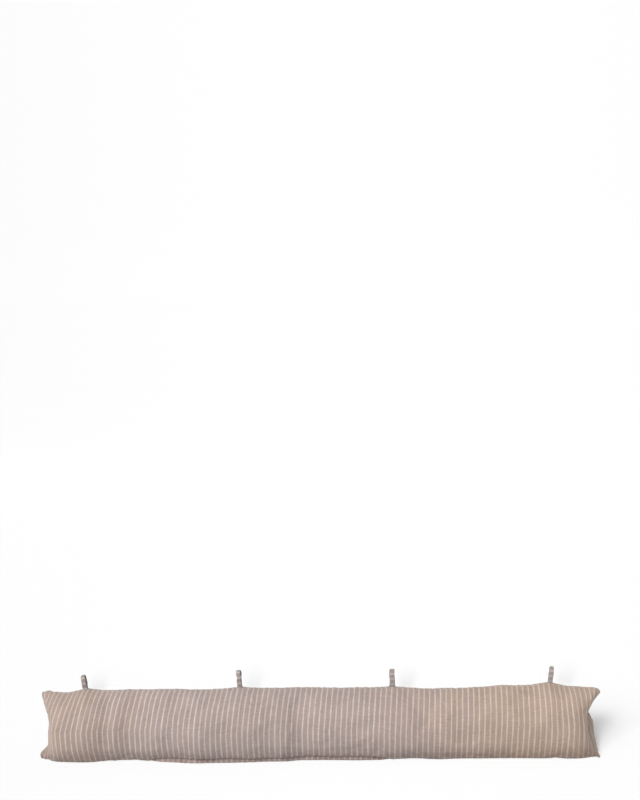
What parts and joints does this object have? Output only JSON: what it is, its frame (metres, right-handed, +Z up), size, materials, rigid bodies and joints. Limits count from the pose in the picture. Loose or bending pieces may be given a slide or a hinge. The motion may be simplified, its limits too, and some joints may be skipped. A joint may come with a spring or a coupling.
{
  "type": "draught excluder",
  "caption": "Long stuffed tube of striped ticking for the foot of a door, with seamed ends, pointed corners and small tape hanging loops along its top seam.",
  "frame": {"origin": "on the floor, under the middle of the whole part's box", "axes": "+X along the tube to the right, -Y to the front of the tube, +Z up towards the seam that carries the loops"},
  "size_m": [0.9, 0.111, 0.1399],
  "materials": {
    "ticking": "matt woven cotton ticking, greige with narrow ivory stripes round the tube",
    "tape": "the same ticking folded and stitched into narrow tape, its stripes across the tape"
  },
  "bodies": {
    "root": {"filled_tube": "ticking", "hanging_loop_1": "tape", "hanging_loop_2": "tape", "hanging_loop_3": "tape", "hanging_loop_4": "tape"}
  },
  "joints": []
}
